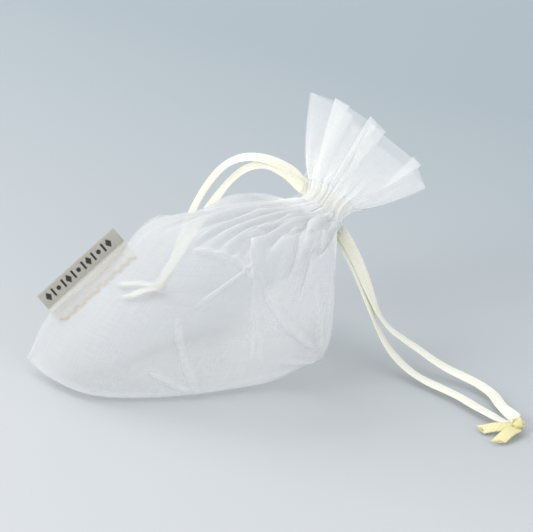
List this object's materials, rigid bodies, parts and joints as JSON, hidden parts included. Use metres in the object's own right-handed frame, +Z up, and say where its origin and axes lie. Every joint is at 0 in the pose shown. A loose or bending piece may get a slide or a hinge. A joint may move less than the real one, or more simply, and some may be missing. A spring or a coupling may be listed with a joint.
{
  "type": "drawstring gift pouch",
  "caption": "Sheer organza gift pouch with a gathered neck, a ruffled mouth, two satin drawstring ribbons with knotted ends and a folded side label.",
  "frame": {"origin": "on the surface it lies on, under the middle of the fabric pouch, ribbons aside", "axes": "+X along the bottom seam towards the mouth side, +Y from the front panel to the back, +Z up"},
  "size_m": [0.142, 0.1325, 0.0647],
  "materials": {
    "organza": "satin",
    "seam": "satin",
    "ribbon": "satin",
    "ribbon_end": "satin",
    "label_tape": "matte",
    "label_thread": "satin"
  },
  "bodies": {
    "pouch": {"front_panel": "organza", "back_panel": "organza", "bottom_seam": "seam", "left_side_seam": "seam", "right_side_seam": "seam", "front_casing": "organza", "back_casing": "organza", "casing_stitch_lower": "seam", "casing_stitch_upper": "seam", "right_ribbon_loop": "ribbon", "left_ribbon_loop": "ribbon", "label_inner": "label_tape", "label_stitching": "label_thread"},
    "ruffle": {"front_ruffle": "organza", "back_ruffle": "organza", "ruffle_left_seam": "seam", "ruffle_right_seam": "seam"},
    "right_ribbon": {"right_ribbon_strand_a": "ribbon", "right_ribbon_strand_b": "ribbon", "right_knot": "ribbon_end", "right_tail_a": "ribbon_end", "right_tail_b": "ribbon_end"},
    "left_ribbon": {"left_ribbon_strand_a": "ribbon", "left_ribbon_strand_b": "ribbon", "left_knot": "ribbon_end", "left_tail_a": "ribbon_end", "left_tail_b": "ribbon_end"},
    "label": {"label_flap": "label_tape"}
  },
  "joints": [
    {"name": "ruffle_flop", "type": "hinge", "parent": "pouch", "child": "ruffle", "pos_m": [0.02695, 0.02133, 0.0355], "axis": [0.833, -0.1542, -0.5313], "range_deg": [-18, 18], "stiffness_Nm_per_rad": 0.004},
    {"name": "right_ribbon_pull", "type": "slide", "parent": "pouch", "child": "right_ribbon", "axis": [0.5201, -0.8541, 0], "range_m": [0, 0.01]},
    {"name": "left_ribbon_pull", "type": "slide", "parent": "pouch", "child": "left_ribbon", "axis": [-0.9007, 0.4344, 0], "range_m": [0, 0.01]},
    {"name": "label_fold", "type": "hinge", "parent": "pouch", "child": "label", "pos_m": [-0.0401, -0.00682, 0.02355], "axis": [0.7399, 0.313, 0.5954], "range_deg": [-30, 30], "stiffness_Nm_per_rad": 0.0002}
  ]
}
